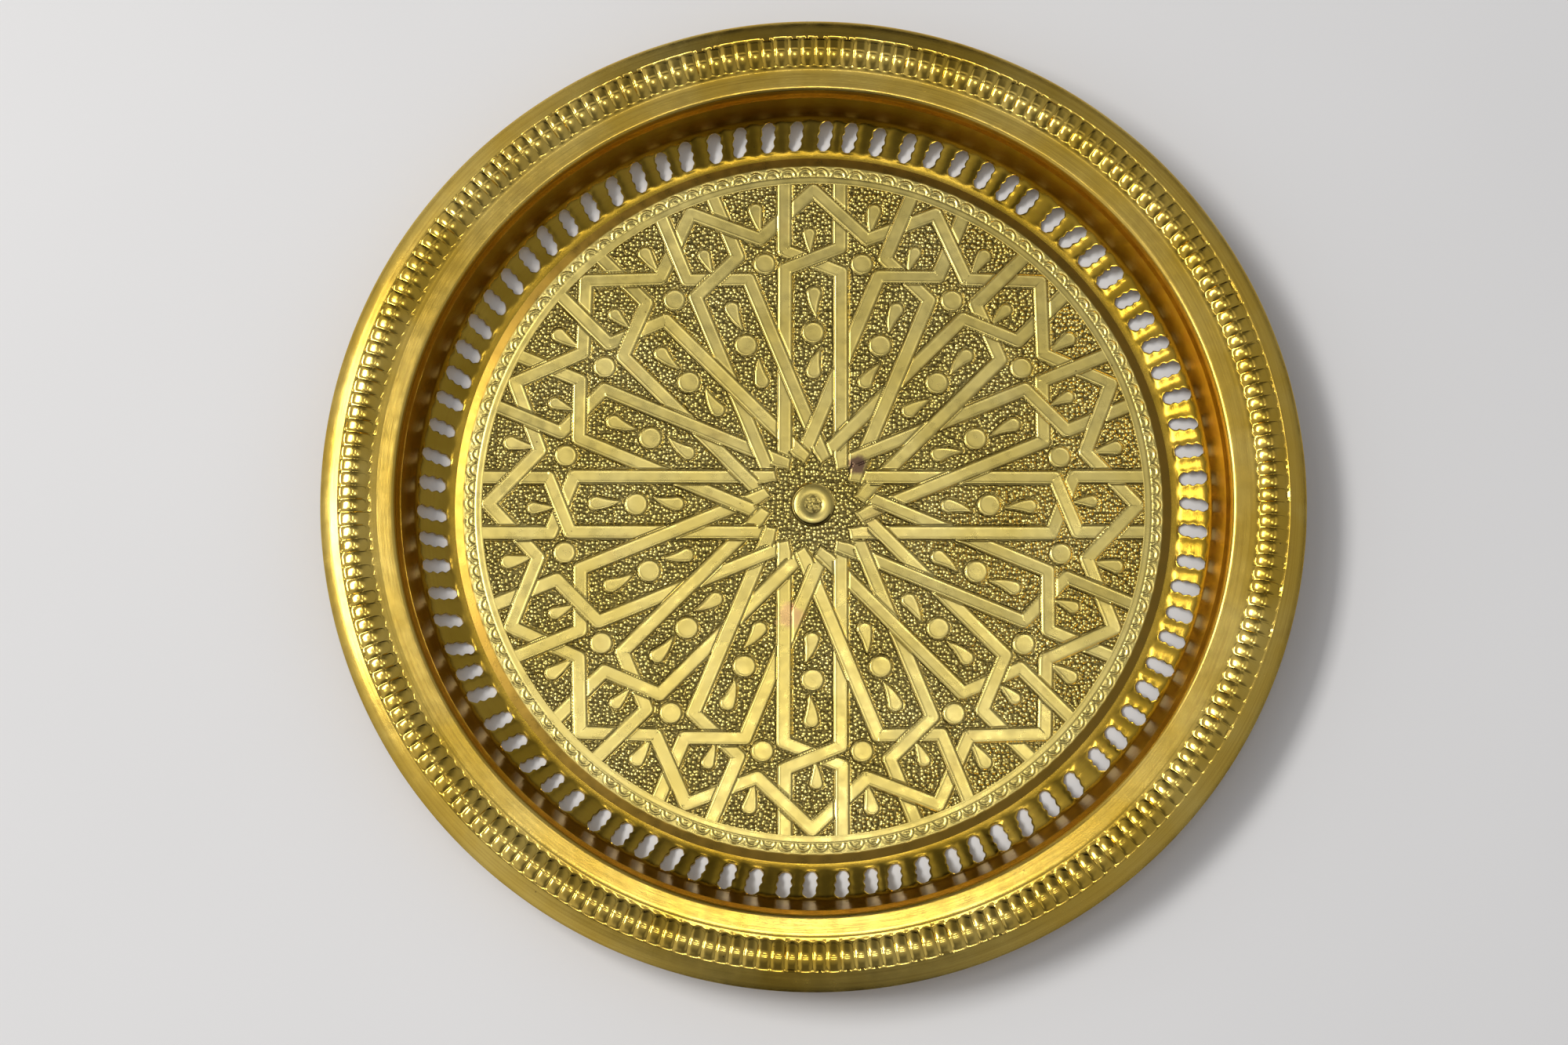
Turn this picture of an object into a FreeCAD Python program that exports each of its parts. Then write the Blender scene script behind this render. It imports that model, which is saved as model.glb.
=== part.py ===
import FreeCAD, Part
import math
import os

import Sketcher

# A round galleried tray in brass sheet. The floor is a flat chased disc. It lies on the inward foot of
# a pierced gallery band, whose top edge fits inside the turned-down collar of the rim flange. The
# flange ends in a hem rolled around a wire. Both laps are soldered from below.
#
# The tray stands on z = 0 and its axis is the Z axis. Radii are measured from that axis and heights
# from the surface it stands on. All lengths are millimetres and all angles are degrees.

DIMENSIONS = (
    ("gauge", 0.8, "thickness of all the brass sheet"),
    ("rim_radius", 155.0, "outside radius of the tray, over the rolled hem"),
    ("roll_radius", 2.4, "outside radius of the rolled hem"),
    ("roll_height", 17.9, "height of the hem's centre"),
    ("roll_end_angle", 130.0, "where the curl stops, counted from the outward direction"),
    ("wire_clearance", 0.05, "gap between the edge wire and the inside of the hem"),
    ("lip_slope", 18.0, "fall of the plain lip towards the edge"),
    ("lip_radius", 149.2, "where the lip meets the moulding"),
    ("crest_radius", 144.4, "crest of the moulding"),
    ("crest_height", 22.7, "height of the moulding's crest before it is rounded"),
    ("crest_bend", 7.0, "rounding of the moulding's crest"),
    ("flat_outer_radius", 138.2, "outer end of the flat ring"),
    ("flat_bend", 6.0, "hollow bend between the flat ring and the moulding"),
    ("shoulder_radius", 131.6, "where the flat ring would meet the wall"),
    ("shoulder_bend", 1.5, "rounding of the shoulder"),
    ("flat_height", 20.6, "height of the flat ring"),
    ("wall_slope", 72.0, "steepness of the wall below the shoulder"),
    ("band_top_height", 17.4, "height of the gallery band's top edge, inside the collar"),
    ("collar_end_height", 12.6, "height where the collar stops"),
    ("bend_height", 6.0, "where the wall turns into the pierced zone"),
    ("wall_bend", 5.0, "hollow bend between the wall and the pierced zone"),
    ("slot_slope", 28.0, "steepness of the pierced zone"),
    ("foot_bend", 6.0, "hollow bend between the pierced zone and the foot"),
    ("foot_inner_radius", 106.0, "inner edge of the foot, under the floor"),
    ("slot_count", 85, "number of slots around the gallery"),
    ("slot_width", 4.1, "width of one slot"),
    ("slot_length", 9.6, "length of one slot up the slope"),
    ("slot_cut_depth", 5.0, "length of the cut through the sheet, half of it each way"),
    ("floor_radius", 114.3, "outside radius of the floor plate"),
    ("floor_flat_radius", 111.3, "where the floor's bevel begins"),
    ("floor_edge_thickness", 0.25, "thickness left at the floor's bevelled edge"),
    ("solder_leg", 1.4, "length of a solder fillet along the sheet"),
    ("solder_height", 0.6, "depth of the solder fillet under the floor"),
)

doc = FreeCAD.newDocument("GalleriedTray")
sheet = doc.addObject("Spreadsheet::Sheet", "Dimensions")
for row, (alias, value, meaning) in enumerate(DIMENSIONS, start=1):
    sheet.set(f"A{row}", alias)
    sheet.set(f"B{row}", str(value))
    sheet.set(f"C{row}", meaning)
    sheet.setAlias(f"B{row}", alias)
doc.recompute()

GAUGE = "Dimensions.gauge"
ROLL_CENTRE_RADIUS = "(Dimensions.rim_radius - Dimensions.roll_radius)"
HEM_INNER_RADIUS = "(Dimensions.roll_radius - Dimensions.gauge)"
LIP_END_RADIUS = f"({ROLL_CENTRE_RADIUS} + Dimensions.roll_radius * sin(Dimensions.lip_slope))"
LIP_END_HEIGHT = "(Dimensions.roll_height + Dimensions.roll_radius * cos(Dimensions.lip_slope))"
LIP_HEIGHT = f"({LIP_END_HEIGHT} + ({LIP_END_RADIUS} - Dimensions.lip_radius) * tan(Dimensions.lip_slope))"


def collar_face_radius(height):
    """Radius of the collar's inner face, which is also the gallery band's outer face."""
    return f"(Dimensions.shoulder_radius - (Dimensions.flat_height - {height}) / tan(Dimensions.wall_slope))"


def wall_face_radius(height):
    """Radius of the gallery band's inner face, one sheet inside the collar's."""
    return f"({collar_face_radius(height)} - {GAUGE} / sin(Dimensions.wall_slope))"


BEND_RADIUS = wall_face_radius("Dimensions.bend_height")
FOOT_RADIUS = f"({BEND_RADIUS} - (Dimensions.bend_height - {GAUGE}) / tan(Dimensions.slot_slope))"
SLOT_ZONE_MIDDLE_RADIUS = f"(({BEND_RADIUS} + {FOOT_RADIUS}) / 2)"
SLOT_ZONE_MIDDLE_HEIGHT = f"((Dimensions.bend_height + {GAUGE}) / 2)"


def amount(expression):
    """The number that an expression on the spreadsheet gives."""
    value = sheet.evalExpression(expression)
    return float(getattr(value, "Value", value))


def point(x_expression, y_expression):
    return FreeCAD.Vector(amount(x_expression), amount(y_expression), 0)


def new_body(label):
    body = doc.addObject("PartDesign::Body", label)
    body.Label = label
    body.Placement = FreeCAD.Placement()
    return body


def origin_feature(body, role):
    return next(feature for feature in body.Origin.OriginFeatures if feature.Role == role)


def new_sketch(body, name, plane="XZ_Plane"):
    sketch = body.newObject("Sketcher::SketchObject", name)
    sketch.AttachmentSupport = [(origin_feature(body, plane), "")]
    sketch.MapMode = "FlatFace"
    return sketch


def bind(sketch, constraint, name, expression):
    """Add a constraint with a size, give it a name and tie it to the spreadsheet."""
    index = sketch.addConstraint(constraint)
    sketch.renameConstraint(index, name)
    sketch.setExpression(f"Constraints.{name}", expression)


def place_point(sketch, geometry, end, name, x_expression, y_expression):
    """Hold one end of a line or the centre of an arc at a radius and a height."""
    place = point(x_expression, y_expression)
    if place.x == 0:
        sketch.addConstraint(Sketcher.Constraint("PointOnObject", geometry, end, -2))
    else:
        across = Sketcher.Constraint("DistanceX", -1, 1, geometry, end, place.x)
        bind(sketch, across, f"{name}_radius", x_expression)
    if place.y == 0:
        sketch.addConstraint(Sketcher.Constraint("PointOnObject", geometry, end, -1))
    else:
        upward = Sketcher.Constraint("DistanceY", -1, 1, geometry, end, place.y)
        bind(sketch, upward, f"{name}_height", y_expression)


def draw_outline(sketch, points):
    """A closed chain of lines through the points, joined end to end."""
    count = len(points)
    for index in range(count):
        sketch.addGeometry(Part.LineSegment(points[index], points[(index + 1) % count]), False)
    for index in range(count):
        joint = Sketcher.Constraint("Coincident", index, 2, (index + 1) % count, 1)
        sketch.addConstraint(joint)


def draw_polygon(sketch, corners):
    """A closed outline whose corners are (name, radius, height), each tied to the spreadsheet."""
    draw_outline(sketch, [point(radius, height) for _, radius, height in corners])
    for index, (name, radius, height) in enumerate(corners):
        place_point(sketch, index, 1, name, radius, height)


def back_points(face, thickness):
    """The chain of points one sheet to the right of the face, as it runs from first to last."""
    normals = []
    for start, end in zip(face, face[1:]):
        run = (end - start).normalize()
        normals.append(FreeCAD.Vector(run.y, -run.x, 0))
    points = [face[0] + normals[0] * thickness]
    for corner, before, after in zip(face[1:], normals, normals[1:]):
        bisector = (before + after).normalize()
        points.append(corner + bisector * (thickness / bisector.dot(before)))
    points.append(face[-1] + normals[-1] * thickness)
    return points


def draw_sheet_section(sketch, corners):
    """The section of a bent sheet: its face through the corners, its back one gauge to the right."""
    face = [point(radius, height) for _, radius, height in corners]
    back = back_points(face, amount(GAUGE))
    draw_outline(sketch, face + back[::-1])
    for index, (name, radius, height) in enumerate(corners):
        place_point(sketch, index, 1, name, radius, height)
    last = len(face) - 1
    for leg in range(last):
        back_leg = 2 * last - leg
        sketch.addConstraint(Sketcher.Constraint("Parallel", leg, back_leg))
        thickness = Sketcher.Constraint("Distance", back_leg, 1, leg, amount(GAUGE))
        bind(sketch, thickness, f"gauge_{leg}", GAUGE)
    sketch.addConstraint(Sketcher.Constraint("Perpendicular", last - 1, last))
    sketch.addConstraint(Sketcher.Constraint("Perpendicular", 0, 2 * last + 1))
    return face, back


def revolve(body, sketch, name):
    """Turn a section about the tray's axis."""
    turned = body.newObject("PartDesign::Revolution", name)
    turned.Profile = sketch
    turned.ReferenceAxis = (sketch, ["V_Axis"])
    turned.Angle = 360
    doc.recompute()
    return turned


def round_ring(body, base, name, corner, radius_expression):
    """Round the circular edge of the last feature that passes through a corner of the section."""
    edges = []
    for number, edge in enumerate(base.Shape.Edges, start=1):
        centre = getattr(edge.Curve, "Center", None)
        if centre is None:
            continue
        if abs(edge.Curve.Radius - corner.x) < 0.01 and abs(centre.z - corner.y) < 0.01:
            edges.append(f"Edge{number}")
    if not edges:
        raise RuntimeError(f"{name}: no edge at radius {corner.x:.2f}, height {corner.y:.2f}")
    rounded = body.newObject("PartDesign::Fillet", name)
    rounded.Base = (base, edges)
    rounded.setExpression("Radius", radius_expression)
    doc.recompute()
    return rounded


def floor_plate():
    """Flat disc with a bevelled border. It lies on the foot of the gallery band."""
    body = new_body("floor_plate")
    sketch = new_sketch(body, "floor_section")
    top = f"({GAUGE} * 2)"
    draw_polygon(
        sketch,
        (
            ("axis_bottom", "0", GAUGE),
            ("edge_bottom", "Dimensions.floor_radius", GAUGE),
            ("edge_top", "Dimensions.floor_radius", f"{GAUGE} + Dimensions.floor_edge_thickness"),
            ("bevel_top", "Dimensions.floor_flat_radius", top),
            ("axis_top", "0", top),
        ),
    )
    revolve(body, sketch, "floor_disc")
    return body


def slot_outline(body):
    """One slot, drawn on the pierced zone's face with its length up the slope."""
    sketch = new_sketch(body, "slot_outline", "XY_Plane")
    tilt = FreeCAD.Rotation(FreeCAD.Vector(0, 1, 0), -amount("Dimensions.slot_slope"))
    middle = FreeCAD.Vector(amount(SLOT_ZONE_MIDDLE_RADIUS), 0, amount(SLOT_ZONE_MIDDLE_HEIGHT))
    sketch.AttachmentOffset = FreeCAD.Placement(middle, tilt)
    sketch.setExpression("AttachmentOffset.Base.x", SLOT_ZONE_MIDDLE_RADIUS)
    sketch.setExpression("AttachmentOffset.Base.z", SLOT_ZONE_MIDDLE_HEIGHT)
    half_width = amount("Dimensions.slot_width / 2")
    half_run = amount("(Dimensions.slot_length - Dimensions.slot_width) / 2")
    upward = FreeCAD.Vector(0, 0, 1)
    right_centre = FreeCAD.Vector(half_run, 0, 0)
    left_centre = FreeCAD.Vector(-half_run, 0, 0)
    across = FreeCAD.Vector(0, half_width, 0)
    quarter_turn = math.pi / 2
    right_circle = Part.Circle(right_centre, upward, half_width)
    left_circle = Part.Circle(left_centre, upward, half_width)
    sketch.addGeometry(Part.ArcOfCircle(right_circle, -quarter_turn, quarter_turn), False)
    sketch.addGeometry(Part.LineSegment(right_centre + across, left_centre + across), False)
    sketch.addGeometry(Part.ArcOfCircle(left_circle, quarter_turn, 3 * quarter_turn), False)
    sketch.addGeometry(Part.LineSegment(left_centre - across, right_centre - across), False)
    for index in range(4):
        sketch.addConstraint(Sketcher.Constraint("Tangent", index, 2, (index + 1) % 4, 1))
    sketch.addConstraint(Sketcher.Constraint("Equal", 0, 2))
    sketch.addConstraint(Sketcher.Constraint("PointOnObject", 0, 3, -1))
    sketch.addConstraint(Sketcher.Constraint("Symmetric", 0, 3, 2, 3, -1, 1))
    end_radius = Sketcher.Constraint("Radius", 0, half_width)
    bind(sketch, end_radius, "end_radius", "Dimensions.slot_width / 2")
    run = Sketcher.Constraint("DistanceX", 2, 3, 0, 3, 2 * half_run)
    bind(sketch, run, "straight_run", "Dimensions.slot_length - Dimensions.slot_width")
    return sketch


def gallery_band():
    """Steep wall, sloping pierced zone and flat foot, bent from one band and pierced all round."""
    body = new_body("gallery_band")
    sketch = new_sketch(body, "band_section")
    top_radius = wall_face_radius("Dimensions.band_top_height")
    face, back = draw_sheet_section(
        sketch,
        (
            ("foot_end", "Dimensions.foot_inner_radius", GAUGE),
            ("foot", FOOT_RADIUS, GAUGE),
            ("bend", BEND_RADIUS, "Dimensions.bend_height"),
            ("top", top_radius, "Dimensions.band_top_height"),
        ),
    )
    turned = revolve(body, sketch, "band_ring")
    turned = round_ring(body, turned, "foot_face_bend", face[1], "Dimensions.foot_bend")
    turned = round_ring(body, turned, "foot_back_bend", back[1], f"Dimensions.foot_bend + {GAUGE}")
    turned = round_ring(body, turned, "wall_face_bend", face[2], "Dimensions.wall_bend")
    turned = round_ring(body, turned, "wall_back_bend", back[2], f"Dimensions.wall_bend + {GAUGE}")
    volume_before = turned.Shape.Volume

    slot = body.newObject("PartDesign::Pocket", "slot")
    slot.Profile = slot_outline(body)
    slot.Midplane = True
    slot.setExpression("Length", "Dimensions.slot_cut_depth")
    slots = body.newObject("PartDesign::PolarPattern", "slots")
    slots.Originals = [slot]
    slots.Axis = (origin_feature(body, "Z_Axis"), [""])
    slots.Angle = 360
    slots.setExpression("Occurrences", "Dimensions.slot_count")
    body.Tip = slots
    doc.recompute()

    slot_area = amount(
        "(Dimensions.slot_length - Dimensions.slot_width) * Dimensions.slot_width"
        " + pi * (Dimensions.slot_width / 2) ^ 2"
    )
    expected = slot_area * amount(GAUGE) * amount("Dimensions.slot_count")
    removed = volume_before - slots.Shape.Volume
    print(f"slots remove {removed:.0f} mm3, expected about {expected:.0f} mm3")
    if abs(removed - expected) > 0.1 * expected:
        raise RuntimeError("the slots are not cut all round")
    return body


def hem_section(body):
    """The rolled hem: a curl of sheet around the edge wire, from the lip round to its underside."""
    sketch = new_sketch(body, "hem_section")
    centre = point(ROLL_CENTRE_RADIUS, "Dimensions.roll_height")
    first_angle = math.radians(amount("Dimensions.roll_end_angle"))
    last_angle = math.radians(amount("450 - Dimensions.lip_slope"))
    upward = FreeCAD.Vector(0, 0, 1)
    for radius in ("Dimensions.roll_radius", HEM_INNER_RADIUS):
        circle = Part.Circle(centre, upward, amount(radius))
        sketch.addGeometry(Part.ArcOfCircle(circle, first_angle, last_angle), False)
    outer, inner = sketch.Geometry
    sketch.addGeometry(Part.LineSegment(inner.StartPoint, outer.StartPoint), False)
    sketch.addGeometry(Part.LineSegment(inner.EndPoint, outer.EndPoint), False)
    for cap, end in ((2, 1), (3, 2)):
        sketch.addConstraint(Sketcher.Constraint("Coincident", cap, 1, 1, end))
        sketch.addConstraint(Sketcher.Constraint("Coincident", cap, 2, 0, end))
        sketch.addConstraint(Sketcher.Constraint("PointOnObject", 0, 3, cap))
    sketch.addConstraint(Sketcher.Constraint("Coincident", 0, 3, 1, 3))
    place_point(sketch, 0, 3, "roll_centre", ROLL_CENTRE_RADIUS, "Dimensions.roll_height")
    outer_size = Sketcher.Constraint("Radius", 0, amount("Dimensions.roll_radius"))
    bind(sketch, outer_size, "outer_size", "Dimensions.roll_radius")
    inner_size = Sketcher.Constraint("Radius", 1, amount(HEM_INNER_RADIUS))
    bind(sketch, inner_size, "inner_size", HEM_INNER_RADIUS)
    curl_end = Sketcher.Constraint("Angle", 2, first_angle)
    bind(sketch, curl_end, "curl_end", "Dimensions.roll_end_angle * 1 deg")
    lip_end = Sketcher.Constraint("Angle", 3, last_angle - 2 * math.pi)
    bind(sketch, lip_end, "lip_end", "(90 - Dimensions.lip_slope) * 1 deg")
    return sketch


def rim_flange():
    """Collar, shoulder, flat ring, moulding and lip, bent from one ring, with the rolled hem."""
    body = new_body("rim_flange")
    sketch = new_sketch(body, "flange_section")
    collar_end = collar_face_radius("Dimensions.collar_end_height")
    face, back = draw_sheet_section(
        sketch,
        (
            ("collar_end", collar_end, "Dimensions.collar_end_height"),
            ("shoulder", "Dimensions.shoulder_radius", "Dimensions.flat_height"),
            ("flat_end", "Dimensions.flat_outer_radius", "Dimensions.flat_height"),
            ("crest", "Dimensions.crest_radius", "Dimensions.crest_height"),
            ("lip", "Dimensions.lip_radius", LIP_HEIGHT),
            ("lip_end", LIP_END_RADIUS, LIP_END_HEIGHT),
        ),
    )
    turned = revolve(body, sketch, "flange_ring")
    turned = round_ring(body, turned, "shoulder_face_bend", face[1], "Dimensions.shoulder_bend")
    turned = round_ring(body, turned, "shoulder_back_bend", back[1], f"Dimensions.shoulder_bend - {GAUGE}")
    turned = round_ring(body, turned, "flat_face_bend", face[2], "Dimensions.flat_bend")
    turned = round_ring(body, turned, "flat_back_bend", back[2], f"Dimensions.flat_bend + {GAUGE}")
    turned = round_ring(body, turned, "crest_face_bend", face[3], "Dimensions.crest_bend")
    turned = round_ring(body, turned, "crest_back_bend", back[3], f"Dimensions.crest_bend - {GAUGE}")
    revolve(body, hem_section(body), "rolled_hem")
    return body


def edge_wire():
    """The wire that the hem is rolled around."""
    wire = doc.addObject("Part::Torus", "edge_wire")
    wire.Label = "edge_wire"
    wire.setExpression("Radius1", ROLL_CENTRE_RADIUS)
    wire.setExpression("Radius2", f"{HEM_INNER_RADIUS} - Dimensions.wire_clearance")
    wire.Placement = FreeCAD.Placement()
    wire.setExpression("Placement.Base.z", "Dimensions.roll_height")
    return wire


def collar_solder():
    """Fillet of solder behind the gallery, in the corner below the end of the collar."""
    body = new_body("collar_solder")
    sketch = new_sketch(body, "collar_solder_section")
    corner_height = "Dimensions.collar_end_height"
    corner_radius = collar_face_radius(corner_height)
    draw_polygon(
        sketch,
        (
            ("corner", corner_radius, corner_height),
            (
                "low",
                f"{corner_radius} - Dimensions.solder_leg * cos(Dimensions.wall_slope)",
                f"{corner_height} - Dimensions.solder_leg * sin(Dimensions.wall_slope)",
            ),
            (
                "outer",
                f"{corner_radius} + {GAUGE} * sin(Dimensions.wall_slope)",
                f"{corner_height} - {GAUGE} * cos(Dimensions.wall_slope)",
            ),
        ),
    )
    revolve(body, sketch, "collar_solder_ring")
    return body


def floor_solder():
    """Fillet of solder in the corner between the floor's underside and the inner edge of the foot."""
    body = new_body("floor_solder")
    sketch = new_sketch(body, "floor_solder_section")
    edge = "Dimensions.foot_inner_radius"
    draw_polygon(
        sketch,
        (
            ("corner", edge, GAUGE),
            ("inner", f"{edge} - Dimensions.solder_leg", GAUGE),
            ("low", edge, f"{GAUGE} - Dimensions.solder_height"),
        ),
    )
    revolve(body, sketch, "floor_solder_ring")
    return body


SUB_PARTS = (
    floor_plate(),
    gallery_band(),
    rim_flange(),
    edge_wire(),
    collar_solder(),
    floor_solder(),
)
doc.recompute()

for item in doc.Objects:
    if {"Invalid", "Error"} & set(item.State):
        raise RuntimeError(f"{item.Label} failed: {item.State}")
    if item.isDerivedFrom("Sketcher::SketchObject") and not item.FullyConstrained:
        raise RuntimeError(f"{item.Label} is not fully constrained")
for sub_part in SUB_PARTS:
    if sub_part.Shape.isNull() or not sub_part.Shape.isValid():
        raise RuntimeError(f"{sub_part.Label} has no valid shape")

os.makedirs("parts", exist_ok=True)
for sub_part in SUB_PARTS:
    shape = sub_part.Shape
    shape.exportStep(f"parts/{sub_part.Label}.step")
    box = shape.BoundBox
    print(
        f"{sub_part.Label}: {len(shape.Solids)} solid, {shape.Volume:.0f} mm3,"
        f" radius {box.XMax:.2f}, height {box.ZMin:.2f} to {box.ZMax:.2f}"
    )
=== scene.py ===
import math

import bpy
import numpy as np
from mathutils import Matrix, Vector


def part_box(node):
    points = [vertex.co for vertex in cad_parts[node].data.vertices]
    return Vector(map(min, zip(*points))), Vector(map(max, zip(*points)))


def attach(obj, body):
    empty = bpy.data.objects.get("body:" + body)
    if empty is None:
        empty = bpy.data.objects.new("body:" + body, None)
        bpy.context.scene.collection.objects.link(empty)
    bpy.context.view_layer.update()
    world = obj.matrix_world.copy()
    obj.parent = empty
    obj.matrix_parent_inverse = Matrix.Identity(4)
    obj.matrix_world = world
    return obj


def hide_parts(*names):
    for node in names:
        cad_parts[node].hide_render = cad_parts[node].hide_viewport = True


# The look of a round galleried brass tray, built around its CAD frame. The axis of the tray is Z and it
# stands on z = 0. Shapes are worked out in millimetres and written to the meshes in metres.

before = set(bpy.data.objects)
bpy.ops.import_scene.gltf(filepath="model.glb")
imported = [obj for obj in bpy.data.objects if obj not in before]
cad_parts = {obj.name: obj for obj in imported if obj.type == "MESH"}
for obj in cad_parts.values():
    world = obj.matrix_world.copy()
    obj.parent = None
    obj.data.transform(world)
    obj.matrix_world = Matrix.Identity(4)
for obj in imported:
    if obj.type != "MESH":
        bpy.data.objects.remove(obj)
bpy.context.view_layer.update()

MM = 0.001
TURN = 2 * math.pi


def box_mm(node):
    """Largest radius, lowest height and highest height of a CAD node, in millimetres."""
    low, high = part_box(node)
    return high.x / MM, low.z / MM, high.z / MM


FLOOR_RADIUS, FLOOR_BOTTOM, FLOOR_TOP = box_mm("floor_plate")
GAUGE = FLOOR_TOP - FLOOR_BOTTOM
RIM_RADIUS = box_mm("rim_flange")[0]
COLLAR_END_HEIGHT = box_mm("collar_solder")[2]
BAND_TOP_HEIGHT = box_mm("gallery_band")[2]
ROLL_HEIGHT = sum(box_mm("edge_wire")[1:]) / 2

# the rim, from the wall outwards
FLAT_HEIGHT = 20.6
SHOULDER_RADIUS = 131.6
SHOULDER_BEND = 1.5
WALL_SLOPE = math.radians(72)
MOULDING_START = 137.0
FLAT_OUTER_RADIUS = 138.2
FLAT_BEND = 6.0
CREST_RADIUS = 144.4
CREST_HEIGHT = 22.7
CREST_BEND = 7.0
LIP_RADIUS = 149.2
LIP_SLOPE = math.radians(18)
ROLL_RADIUS = 2.4
ROLL_END = math.radians(-230)
FLUTE_COUNT = 214

# the gallery, from the foot upwards
FOOT_INNER_RADIUS = 106.0
FOOT_BEND = 6.0
BEND_HEIGHT = 6.0
WALL_BEND = 5.0
SLOT_SLOPE = math.radians(28)
SLOT_COUNT = 85
SLOT_HALF_LENGTH = 4.85
SLOT_HALF_WIDTH = 2.12
WIDE_GAP_AFTER = 74
WIDE_GAP_EXTRA = math.radians(1.6)
CELL_HALF_LENGTH = 5.8
CELL_COLUMNS = 8

# the chased floor
PETALS = 16
FIELD_RADIUS = 105.7
PLAIN_RING_RADIUS = 108.0
SCALLOP_RADIUS = 111.0
BEVEL_RADIUS = 111.3
BEVEL_EDGE_HEIGHT = FLOOR_BOTTOM + 0.25
SCALLOP_COUNT = 126
STRAP_HALF_WIDTH = 2.25
GROUND_DEPTH = 0.36
BEAD_PITCH = 1.3

# how fine the meshes are, and the angles above which their edges stay sharp
FLOOR_CELLS, QUICK_FLOOR_CELLS = 304, 120
RING_COLUMNS = 4 * FLUTE_COUNT
SHEET_CREASE = math.radians(40)
MOULDING_CREASE = math.radians(60)
SLOT_CREASE = math.radians(48)
BORDER_CREASE = math.radians(50)


# ---------------------------------------------------------------- sections of bent sheet


def left_of(direction):
    return np.array((-direction[1], direction[0]))


def turned_by(direction, angle):
    cosine, sine = math.cos(angle), math.sin(angle)
    across, upward = direction
    return np.array((across * cosine - upward * sine, across * sine + upward * cosine))


class SheetPath:
    """The face of a bent sheet in section, as radius and height along it, with its normals."""

    STEP = 0.05

    def __init__(self, corners, bends):
        self.points, self.normals = [], []
        corners = [np.array(corner, float) for corner in corners]
        position = corners[0]
        for index in range(1, len(corners)):
            before = self._direction(corners[index - 1], corners[index])
            if index == len(corners) - 1:
                self._add_run(position, corners[index], before)
                break
            after = self._direction(corners[index], corners[index + 1])
            turn = math.atan2(before[0] * after[1] - before[1] * after[0], before @ after)
            setback = bends[index - 1] * math.tan(abs(turn) / 2)
            end = corners[index] - before * setback
            self._add_run(position, end, before)
            if setback > 0:
                centre = end + left_of(before) * bends[index - 1] * math.copysign(1, turn)
                self.add_arc(centre, bends[index - 1], before, turn)
            position = corners[index] + after * setback
        self.close()

    @staticmethod
    def _direction(start, end):
        return (end - start) / np.linalg.norm(end - start)

    def _add_run(self, start, end, direction):
        count = max(2, math.ceil(np.linalg.norm(end - start) / self.STEP))
        for share in np.linspace(0, 1, count):
            self.points.append(start + (end - start) * share)
            self.normals.append(left_of(direction))

    def add_arc(self, centre, radius, direction, turn):
        side = math.copysign(1, turn)
        count = max(3, math.ceil(radius * abs(turn) / self.STEP))
        for angle in np.linspace(0, turn, count):
            normal = left_of(turned_by(direction, angle))
            self.points.append(centre - normal * radius * side)
            self.normals.append(normal)

    def close(self):
        """Measure the path once all of it is there."""
        points = np.array(self.points)
        steps = np.linalg.norm(np.diff(points, axis=0), axis=1)
        self.along = np.concatenate(([0.0], np.cumsum(steps)))
        self.radius, self.height = points.T
        self.normal_radius, self.normal_height = np.array(self.normals).T
        self.length = self.along[-1]

    def at(self, along, offset=0.0):
        """Radius and height at a distance along the path, moved along the normal by the offset."""
        radius = np.interp(along, self.along, self.radius)
        height = np.interp(along, self.along, self.height)
        across = np.interp(along, self.along, self.normal_radius)
        upward = np.interp(along, self.along, self.normal_height)
        return radius + across * offset, height + upward * offset

    def along_at_radius(self, radius):
        return float(np.interp(radius, self.radius, self.along))


def collar_face_radius(height):
    return SHOULDER_RADIUS - (FLAT_HEIGHT - height) / math.tan(WALL_SLOPE)


def wall_face_radius(height):
    return collar_face_radius(height) - GAUGE / math.sin(WALL_SLOPE)


def flange_path():
    """From the collar's end over the shoulder, flat ring, moulding and lip, then round the hem."""
    roll_centre = np.array((RIM_RADIUS - ROLL_RADIUS, ROLL_HEIGHT))
    lip_normal = np.array((math.sin(LIP_SLOPE), math.cos(LIP_SLOPE)))
    lip_end = roll_centre + lip_normal * ROLL_RADIUS
    lip_height = lip_end[1] + (lip_end[0] - LIP_RADIUS) * math.tan(LIP_SLOPE)
    corners = (
        (collar_face_radius(COLLAR_END_HEIGHT), COLLAR_END_HEIGHT),
        (SHOULDER_RADIUS, FLAT_HEIGHT),
        (FLAT_OUTER_RADIUS, FLAT_HEIGHT),
        (CREST_RADIUS, CREST_HEIGHT),
        (LIP_RADIUS, lip_height),
        lip_end,
    )
    path = SheetPath(corners, (SHOULDER_BEND, FLAT_BEND, CREST_BEND, 0))
    outward = np.array((math.cos(LIP_SLOPE), -math.sin(LIP_SLOPE)))
    path.add_arc(roll_centre, ROLL_RADIUS, outward, ROLL_END - (math.pi / 2 - LIP_SLOPE))
    path.close()
    return path


def gallery_path():
    """From the inner edge of the foot up the pierced slope and the steep wall."""
    bend_radius = wall_face_radius(BEND_HEIGHT)
    foot_radius = bend_radius - (BEND_HEIGHT - GAUGE) / math.tan(SLOT_SLOPE)
    corners = (
        (FOOT_INNER_RADIUS, GAUGE),
        (foot_radius, GAUGE),
        (bend_radius, BEND_HEIGHT),
        (wall_face_radius(BAND_TOP_HEIGHT), BAND_TOP_HEIGHT),
    )
    return SheetPath(corners, (FOOT_BEND, WALL_BEND))


# ---------------------------------------------------------------- meshes


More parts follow.
